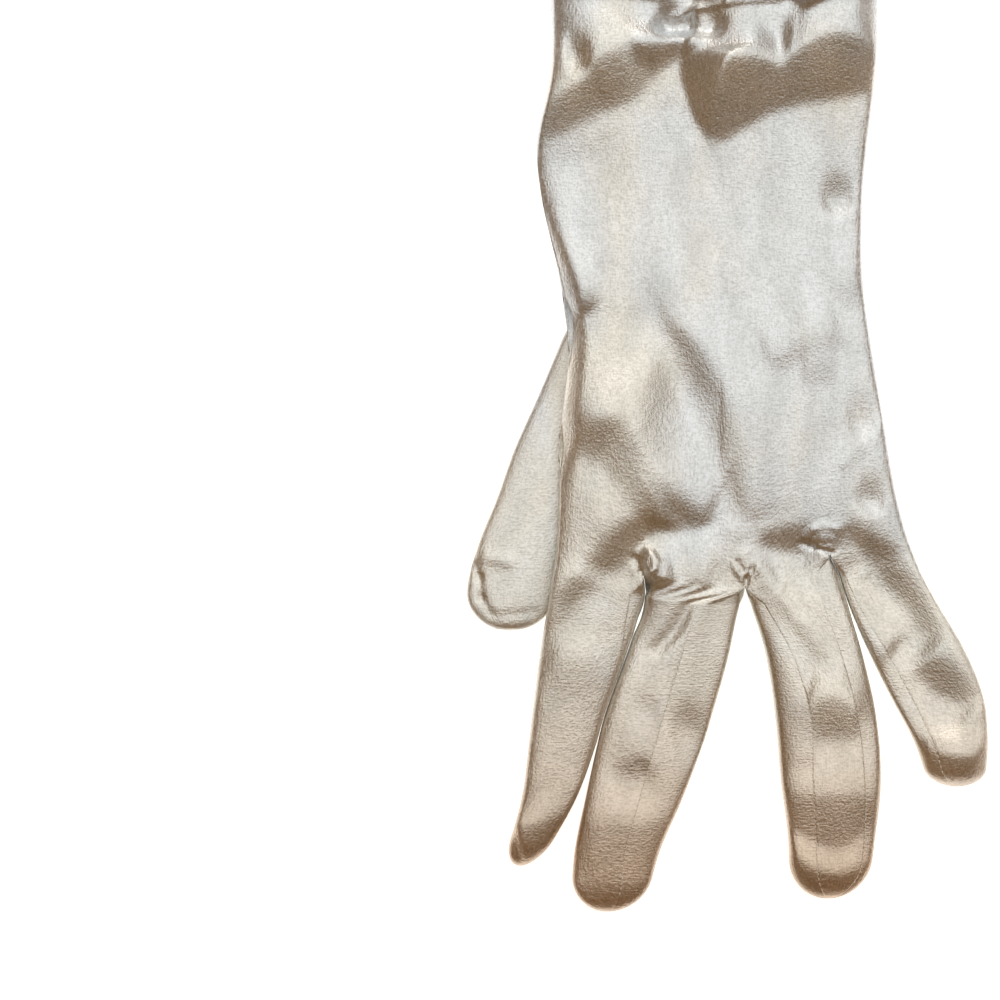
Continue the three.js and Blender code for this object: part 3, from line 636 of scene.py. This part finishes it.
def panel_surface(strip, share, y, palm):
    """A place on the back or palm panel, across one finger's strip and along the glove."""
    finger = FINGERS[ORDER[strip]]
    a, b = FORKS["share"][strip], FORKS["share"][strip + 1]
    angle = mix(share_angle(a, palm), share_angle(b, palm), share)
    placed = bent(y, fork_y((np.cos(angle) + 1) / 2))
    hand = section(HAND, angle, placed)
    left, right = seam(finger, "left", placed), seam(finger, "right", placed)
    palm_left = 180 if strip == 0 else left + GUSSET_SPREAD
    palm_right = 360 if strip == len(ORDER) - 1 else 360 + right - GUSSET_SPREAD
    start, end = (palm_left, palm_right) if palm else (left, right)
    turned = finger_section(finger, np.radians(mix(start, end, share)), placed)
    return mix(hand, turned, turned_over(y)[..., None])


def gusset_surface(fork, side, across, y):
    """A place on a gusset. Side -1 is the finger left of its fork and 1 the one right of it."""
    finger = FINGERS[ORDER[fork - 1 if side < 0 else fork]]
    share = FORKS["share"][fork]
    placed = bent(y, FORKS["y"][fork])
    top = section(HAND, share_angle(share, False), placed)
    bottom = section(HAND, share_angle(share, True), placed)
    start = seam(finger, "right" if side < 0 else "left", placed)
    turned = finger_section(finger, np.radians(start + side * GUSSET_SPREAD * across), placed)
    over = turned_over(y)
    down = np.clip(across, 0, 1) ** (1 + GUSSET_HUG * over)
    return mix(mix(top, bottom, down[..., None]), turned, over[..., None])


def normals(surface, u, v):
    """The normals of a surface, from points a small step apart."""
    du, dv = 0.002, 0.05
    n = np.cross(surface(u + du, v) - surface(u - du, v), surface(u, v + dv) - surface(u, v - dv))
    return n / np.linalg.norm(n, axis=-1, keepdims=True)


knuckle = panel_surface(1, np.array([0.5]), np.array([-30.0]), False)
print("back at the middle knuckle:", knuckle.round(1))

# %% [markdown]
# ## Cloth from grids
# Each strip starts as a plain grid from `create_grid`. The grid's own x and y are read as the
# share and the row, and every vertex moves to its place on the surface. The weave's direction is
# kept in an attribute, in millimetres across, along and down the cloth, so that the knit runs
# down each finger and over the sides. The strips are joined along the hand by merging what lies
# in the same place, and a Solidify modifier gives the cloth its thickness.

# %% Grids and cloth
CLOTH = 0.45
# The gap at a seam, the largest share of a strip that it takes on one side, and how the cloth turns
# in beside it.
SEAM = 0.02
SEAM_SHARE = 0.4
ROLL = dict(width=0.4, depth=0.08)
# Vertices that lie closer than this are merged.
MERGE = 0.02
# How fine each cloth is: columns of a strip, and mm from row to row at cuff, hand and fingers.
BACK_GRID = (34, 0.75, 0.95, 0.85)
PALM_GRID = (14, 2.0, 1.5, 1.5)
GUSSET_GRID = (10, 0.9)
THUMB_GRID = (110, 130)
# The rows are finer round the forks, and the columns and the thumb's rows crowd towards the ends.
FINE = dict(top=-24, low=-48, step=0.45)
CROWDING = 0.45
THUMB_CROWDING = 0.3
TIP = dict(turn=89.9, crowding=1.7)
# Below the forks the knit turns within this to run down each finger.
KNIT_TURN = 10
# The least width a strip counts as having, a y so little past the fork line that it still counts as
# on it, and a share beyond any strip.
NARROWEST = dict(panel=1.5, gusset=1)
TINY = 0.01
FAR = 9
# The cream is a painted warm reflection of the room; at the cuff it also warms the shade of the
# folds.
# Bands of painted cream about a middle x or y: strength, middle and width.
PAINTED_CREAM_BANDS = dict(left=(0.7, -27, 6), right=(0.45, -5, 6), cuff=(0.8, 76, 9))
# Where cream or tan begins and over how many mm it comes in, towards smaller x or y where negative.
PAINTED_CREAM_FROM = dict(right_y=(15, 15), index_x=(-6, -16), index_y=(25, -20), index_edge=(-46, 6),
                  fingers_y=(-25, -25), thumb_y=(5, -30), thumb_x=(-38, -6))
# The cloth turns browner towards the fingertips, from y = TAN_FROM down over TAN_OVER mm.
TAN_FROM, TAN_OVER = -60, -52


def grid(columns, rows):
    """A grid whose x and y run from 0 to 1, and those two numbers for every vertex."""
    made = bmesh.new()
    bmesh.ops.create_grid(made, x_segments=columns, y_segments=rows, size=0.5)
    uv = np.array([v.co[:2] for v in made.verts]) + 0.5
    return made, uv[:, 0], uv[:, 1]


def band(v, strength, middle, width):
    return strength * np.exp(-((v - middle) / width) ** 2)


def fade(v, start, over):
    return ease((v - start) / over)


def tone(x, y):
    """How much painted warm reflection and fingertip brown a place gets, each from 0 to 1."""
    bands, begins = PAINTED_CREAM_BANDS, PAINTED_CREAM_FROM
    index = fade(x, *begins["index_x"]) * fade(y, *begins["index_y"])
    warm_paint = np.maximum.reduce([
        band(x, *bands["left"]),
        band(x, *bands["right"]) * fade(y, *begins["right_y"]),
        band(y, *bands["cuff"]),
        index * fade(x, *begins["index_edge"]),
        fade(y, *begins["fingers_y"]),
        fade(y, *begins["thumb_y"]) * fade(x, *begins["thumb_x"])])
    tan = np.clip((y - TAN_FROM) / TAN_OVER, 0, 1)
    return np.stack([warm_paint, tan, np.zeros_like(y)], -1)


def place(made, points, across, along, down):
    """Moves a grid's vertices to points in mm, with the tone and the weave's own coordinates."""
    weaves = made.verts.layers.float_vector.new("weave")
    tones = made.verts.layers.float_vector.new("tone")
    weave = np.stack([across, along, down], -1)
    hues = tone(points[:, 0], points[:, 1])
    for vert, point, threads, hue in zip(made.verts, points, weave, hues):
        vert.co = point * MM
        vert[weaves] = threads
        vert[tones] = hue


def merged(made):
    """A bmesh merged where its vertices lie in the same place, with its faces outward."""
    bmesh.ops.remove_doubles(made, verts=made.verts, dist=MERGE * MM)
    bmesh.ops.recalc_face_normals(made, faces=made.faces)
    return made


def joined(parts):
    """One bmesh from several, merged where they meet."""
    whole = bmesh.new()
    for part in parts:
        passing = bpy.data.meshes.new("passing")
        part.to_mesh(passing)
        whole.from_mesh(passing)
        part.free()
        bpy.data.meshes.remove(passing)
    return merged(whole)


def finish_cloth(name, made, thickness, slot, *nodes):
    """A bmesh as a piece of cloth: smooth, walled, riding on the glove in place of its solids."""
    for edge in made.edges:
        edge.smooth = not edge.is_boundary
    piece = bpy.data.objects.new(name, bpy.data.meshes.new(name))
    made.to_mesh(piece.data)
    made.free()
    for face in piece.data.polygons:
        face.use_smooth = True
    bpy.context.scene.collection.objects.link(piece)
    if thickness:
        wall = piece.modifiers.new("cloth", "SOLIDIFY")
        wall.thickness = thickness * MM
        wall.offset = -1
    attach(piece, "root")
    if nodes:
        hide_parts(*nodes)
    print(name, len(piece.data.polygons), "faces before its wall")
    return piece


def downward(start, end, step):
    """Values from a start, which is left out, down to an end, about one step apart."""
    return np.linspace(start, end, round((start - end) / step) + 1)[1:]


def rows_along(strip, cuff_step, hand_step, finger_step):
    """The y of each row of a strip, from the cuff to the fingertip."""
    finger = FINGERS[ORDER[strip]]
    cuff = downward(CUFF_END, WRIST, cuff_step)
    hand = downward(WRIST, FINE["top"], hand_step)
    fork = downward(FINE["top"], FORK_LINE, FINE["step"])
    root = downward(FORK_LINE, FINE["low"], FINE["step"])
    start = finger["tip"] + finger["round"]
    down = downward(FINE["low"], start, finger_step)
    turns = round(finger["round"] * TIP["crowding"] / finger_step)
    tip = start - finger["round"] * np.sin(np.radians(np.linspace(0, TIP["turn"], turns + 1)[1:]))
    return np.concatenate([[CUFF_END], cuff, hand, fork, root, down, tip])


def strip_grid(columns, ys):
    """A grid with a row of vertices at each y, and each vertex's share of the way across and y."""
    made, share, run = grid(columns, len(ys) - 1)
    return made, share, ys[np.rint((1 - run) * (len(ys) - 1)).astype(int)]


def span(surface, y, narrowest):
    """How far it is from one side of a strip to the other."""
    sides = surface(np.ones_like(y), y) - surface(np.zeros_like(y), y)
    return np.maximum(np.linalg.norm(sides, axis=-1), narrowest)


def roll(from_edge):
    """How far the cloth turns in beside a seam."""
    return ROLL["depth"] * np.clip(1 - from_edge / ROLL["width"], 0, 1) ** 2


def panel(palm, columns, *steps):
    """The back or the palm panel: four strips, joined along the hand."""
    strips = []
    last = len(ORDER) - 1
    for strip in range(len(ORDER)):
        made, share, y = strip_grid(columns, rows_along(strip, *steps))
        share = share - CROWDING * np.sin(2 * math.pi * share) / (2 * math.pi)

        def surface(u, v, strip=strip):
            return panel_surface(strip, u, v, palm)

        width = span(surface, y, NARROWEST["panel"])
        past_fork = y < FORK_LINE - TINY
        cut_left, cut_right = past_fork | (strip == 0), past_fork | (strip == last)
        trim = SEAM / 2 / width
        placed = share + trim * (cut_left * (1 - share) - cut_right * share)
        from_edge = width * np.minimum(np.where(cut_left, share, FAR),
                                       np.where(cut_right, 1 - share, FAR))
        points = surface(placed, y)
        facing = normals(surface, placed, y) * (-1 if palm else 1)
        middle = surface(np.full_like(y, 0.5), np.full_like(y, FORK_LINE))[:, 0]
        down_the_finger = ease((FORK_LINE - y) / KNIT_TURN)
        across = mix(points[:, 0], middle + (share - 0.5) * width, down_the_finger)
        place(made, points - facing * roll(from_edge)[:, None], across, y, points[:, 2])
        strips.append(made)
    return joined(strips)


back_panel = finish_cloth("back_cloth", panel(False, *BACK_GRID), CLOTH, "satin", "back_panel")

# %% Palm with its thumb hole
# Between these heights lies the palm's lower side at the thumb hole.
PALM_HEIGHTS = (5, 10)


def in_oval(x, y):
    """How far out a place lies in the thumb hole's oval: 1 is on its edge."""
    lean = math.radians(THUMB_HOLE["lean"])
    dx, dy = x - THUMB_HOLE["x"], y - THUMB_HOLE["y"]
    across = dx * math.cos(lean) - dy * math.sin(lean)
    along = dx * math.sin(lean) + dy * math.cos(lean)
    return math.hypot(across / THUMB_HOLE["half_width"], along / THUMB_HOLE["half_length"])


def cut_hole(made, low, high):
    """Opens the thumb hole in the faces that lie between two heights."""
    inside = []
    for face in made.faces:
        x, y, z = face.calc_center_median() / MM
        if low < z < high and in_oval(x, y) < 1:
            inside.append(face)
    bmesh.ops.delete(made, geom=inside, context="FACES")


palm = panel(True, *PALM_GRID)
cut_hole(palm, *PALM_HEIGHTS)
palm_panel = finish_cloth("palm_cloth", palm, CLOTH, "satin", "palm_panel")

# %% Gussets
# The patterns of a gusset's two legs are taken this far to either side, so that they differ.
LEG_APART = 31


def gusset(fork, columns, step):
    """One strip of cloth from a fingertip up to the fork and down to the next fingertip."""
    legs = []
    for side in (-1, 1):
        ys = rows_along(fork - 1 if side < 0 else fork, step, step, step)
        ys = np.concatenate([[FORK_LINE], ys[ys < FORK_LINE - TINY]])
        made, across, y = strip_grid(columns, ys)

        def surface(u, v, side=side):
            return gusset_surface(fork, side, u, v)

        tall = span(surface, y, NARROWEST["gusset"])
        trim = np.minimum(SEAM / 2 / tall, SEAM_SHARE)
        placed = across + trim * (1 - 2 * across)
        rolled = roll(tall * np.minimum(across, 1 - across))
        facing = normals(surface, placed, y) * (1 if side < 0 else -1)
        place(made, surface(placed, y) - facing * rolled[:, None],
              across * tall + side * LEG_APART, y, np.zeros_like(y))
        legs.append(made)
    return joined(legs)


GUSSETS = ["gusset_index_middle", "gusset_middle_ring", "gusset_ring_little"]
gussets = [
    finish_cloth(name + "_cloth", gusset(i + 1, *GUSSET_GRID), CLOTH, "gusset_satin", name)
    for i, name in enumerate(GUSSETS)]

# %% Thumb
# How soon the creases begin above the thumb's side edge, the radius its knit is wound on, and how
# far below and above the thumb's top its hole is cut.
CREASES_FROM = 4
WEAVE_RADIUS = 8
HOLE_DEPTH = 1.5
HOLE_REACH = 1


def thumb():
    """The thumb: a flattened tube, closed at both ends and open to the hand through its hole."""
    made, turn, run = grid(*THUMB_GRID)
    turn = 2 * math.pi * turn
    crowded = (1 - np.cos(math.pi * run)) / 2
    run = crowded * THUMB_CROWDING + run * (1 - THUMB_CROWDING)
    y = mix(THUMB["tip"], THUMB["root"], run)
    left, right = at(THUMB["rows"], y, "left"), at(THUMB["rows"], y, "right")
    close = np.minimum(closing(THUMB["tip"], THUMB["round"], y),
                       closing(-THUMB["root"], THUMB["root_round"], -y))
    x = (left + right) / 2 + (right - left) / 2 * close * np.cos(turn)
    s = np.sin(turn)
    creases = sum(line(f, x, y) for f in rows_of(THUMB_CREASES)) * ease(s * CREASES_FROM)
    reach = close ** SECTION["close_of_thumb"]
    z = outline_height(s, THUMB["mid"], 0, THUMB["height"], reach, SECTION["crown"])
    place(made, np.stack([x, y, z + creases], -1),
          (turn - math.pi) * WEAVE_RADIUS, y, np.zeros_like(y))
    cut_hole(merged(made), THUMB["height"] - HOLE_DEPTH, THUMB["height"] + HOLE_REACH)
    return made


thumb_cloth = finish_cloth("thumb_cloth", thumb(), CLOTH, "satin", "thumb")

# %% [markdown]
# ## Stitches
# Where a gusset meets the back, small stitches cross the seam. They are short rounded threads,
# half sunk in the cloth, and they follow the seam down to the fingertip.

# %% Stitches
STITCH = dict(half_length=0.42, radius=0.13, step=1.25, sunk=0.02, look_ahead=0.5, around=8,
              rings=6)
STITCHED = {
    # finger and side: from y, to y
    ("middle", "right"): (-60, -118), ("ring", "left"): (-64, -116),
    ("ring", "right"): (-66, -115), ("little", "left"): (-66, -90),
}


def stitches():
    """All stitches in one bmesh."""
    whole = bmesh.new()
    for (finger, side), (start, end) in STITCHED.items():
        ys = np.arange(start, end, -STITCH["step"])
        angle = np.radians(seam(FINGERS[finger], side, ys))
        points = finger_section(FINGERS[finger], angle, ys)
        ahead = finger_section(FINGERS[finger], angle, ys - STITCH["look_ahead"]) - points
        for point, direction in zip(points, ahead):
            along = Vector(direction).normalized()
            size = Matrix.Diagonal((STITCH["radius"], STITCH["radius"], STITCH["half_length"], 1))
            where = Matrix.Translation((Vector(point) - Vector((0, 0, STITCH["sunk"]))) * MM)
            bmesh.ops.create_uvsphere(
                whole, u_segments=STITCH["around"], v_segments=STITCH["rings"], radius=MM,
                matrix=where @ along.to_track_quat("Z", "X").to_matrix().to_4x4() @ size)
    return whole


threads = finish_cloth("stitches", stitches(), 0, "satin")

# %% [markdown]
# ## Satin
# Satin is bright where its long floats face the light and dark where they turn away, more
# strongly than plain cloth. A mostly metallic shader gives that contrast, and fine ribs in the
# bump give the knit. Shader maths reads best as Python, so a small class wraps a socket and turns
# arithmetic into Math nodes.

# %% Shader maths


class Value:
    """A socket of a material. Arithmetic on it adds Math nodes."""

    def __init__(self, shader, socket):
        self.shader, self.socket = shader, socket

    def math(self, operation, *others):
        return self.shader.node("ShaderNodeMath", {"operation": operation}, list(others))

    def __add__(self, other):
        return self.math("ADD", self, other)

    def __sub__(self, other):
        return self.math("SUBTRACT", self, other)

    def __rsub__(self, other):
        return self.math("SUBTRACT", other, self)

    def __mul__(self, other):
        return self.math("MULTIPLY", self, other)

    __radd__ = __add__


class Shader:
    """A material under construction."""

    def __init__(self, name):
        self.material = bpy.data.materials.new(name)
        self.material.use_nodes = True
        self.tree = self.material.node_tree
        self.surface = self.tree.nodes["Principled BSDF"]

    def node(self, kind, settings, inputs, output=0):
        """Adds a node: its settings first, then its sockets by number or name."""
        made = self.tree.nodes.new(kind)
        for key, value in settings.items():
            setattr(made, key, value)
        pairs = inputs.items() if isinstance(inputs, dict) else enumerate(inputs)
        for key, value in pairs:
            self.put(made.inputs[key], value)
        return Value(self, made.outputs[output])

    def blend(self, factor, first, second, kind="MIX"):
        """Two colours mixed. The Mix node's sockets 0, 6 and 7 are its factor and its colours."""
        settings = {"data_type": "RGBA", "blend_type": kind}
        return self.node("ShaderNodeMix", settings, {0: factor, 6: first, 7: second}, 2)

    def put(self, socket, value):
        if isinstance(value, Value):
            self.tree.links.new(value.socket, socket)
        else:
            socket.default_value = value


# WARM is painted where the cloth shows the room's warm reflection; COOL is its plain tone.
WARM = (0.96, 0.932, 0.86, 1)
COOL = (0.91, 0.94, 0.965, 1)
DEEP = (0.76, 0.76, 0.745, 1)
TAN = (0.82, 0.66, 0.52, 1)
THREAD = (0.84, 0.79, 0.70)
THREAD_ROUGHNESS = 0.45
METAL = 0.9
ROUGHNESS = 0.32
SPARKLE_ROUGHNESS = 0.12
# How often each pattern of the cloth comes in a mm, and how much detail it has.
FINE_PATTERN = dict(ribs=2.4, sparkle=1.8, detail=2.0)
BROAD_PATTERN = dict(streaks=(0.09, 3.0), clouds=(0.05, 3.0), mottle=(0.11, 4.0))
LONG_STREAK = 0.2
MOTTLE_STRETCH = (1.3, 0.6, 0)
HUE_CONTRAST = 1.5
# The first two numbers are values of a pattern. Between them it goes from the third to the fourth.
DULL = (0.42, 0.62, 0.0, 0.5)
LIGHT = (0.40, 0.58, 0.0, 1.0)
RELIEF = dict(ribs=0.6, courses=0.35, sparkle=0.8, metres=0.00013)


def satin(name, turn):
    """Ribbed stretch satin. turn swaps the ribs' direction, as on cloth that is cut across."""
    s = Shader(name)
    weave = s.node("ShaderNodeAttribute", {"attribute_name": "weave"}, {}, 1)
    # A pattern's direction: how tight it is across the cloth, along it and down the sides.
    down, over = (1.0, LONG_STREAK, 1.0), (LONG_STREAK, 1.0, 1.0)
    if turn:
        down, over = over, down

    def noise(direction, scale, detail=FINE_PATTERN["detail"]):
        turned = s.node("ShaderNodeVectorMath", {"operation": "MULTIPLY"}, [weave, direction])
        inputs = {"Vector": turned, "Scale": scale, "Detail": detail}
        return s.node("ShaderNodeTexNoise", {}, inputs)

    ribs = noise(down, FINE_PATTERN["ribs"])
    courses = noise(over, FINE_PATTERN["ribs"])
    sparkle = noise((1, 1, 1), FINE_PATTERN["sparkle"])
    streaks = noise((*down[:2], 0), *BROAD_PATTERN["streaks"])
    clouds = noise((1, 1, 0), *BROAD_PATTERN["clouds"])
    mottle = noise(MOTTLE_STRETCH, *BROAD_PATTERN["mottle"])
    grain = (ribs + courses + sparkle * 2) * 0.25
    tones = s.node("ShaderNodeAttribute", {"attribute_name": "tone"}, {}, 1)
    painted_warmth, tip_brown = (s.node("ShaderNodeSeparateXYZ", {}, [tones], i) for i in (0, 1))
    # Painted warm reflection, with random streaks and clouds, turns the cool cloth to cream.
    tint = s.blend(painted_warmth + (streaks + clouds - 1.0) * HUE_CONTRAST, COOL, WARM)
    # Browner towards the fingertips.
    tint = s.blend(tip_brown, tint, TAN)
    tint = s.blend(s.node("ShaderNodeMapRange", {}, [mottle, *DULL]), tint, DEEP, "MULTIPLY")
    light = s.node("ShaderNodeMapRange", {}, [grain, *LIGHT])
    s.put(s.surface.inputs["Base Color"], s.blend(1.0 - light, tint, DEEP, "MULTIPLY"))
    s.put(s.surface.inputs["Roughness"], ROUGHNESS + sparkle * SPARKLE_ROUGHNESS)
    height = (ribs * RELIEF["ribs"] + courses * RELIEF["courses"]
              + sparkle * RELIEF["sparkle"])
    bump = {"Strength": 1.0, "Distance": RELIEF["metres"], "Height": height}
    s.put(s.surface.inputs["Normal"], s.node("ShaderNodeBump", {}, bump))
    s.surface.inputs["Metallic"].default_value = METAL
    return s.material


ivory = satin("ivory satin", False)
ivory_across = satin("ivory satin, cut across", True)
for piece in (back_panel, palm_panel, thumb_cloth):
    piece.data.materials.append(ivory)
for piece in gussets:
    piece.data.materials.append(ivory_across)
threads.data.materials.append(plain_material("thread", THREAD, THREAD_ROUGHNESS))
print("materials:", [m.name for m in bpy.data.materials])
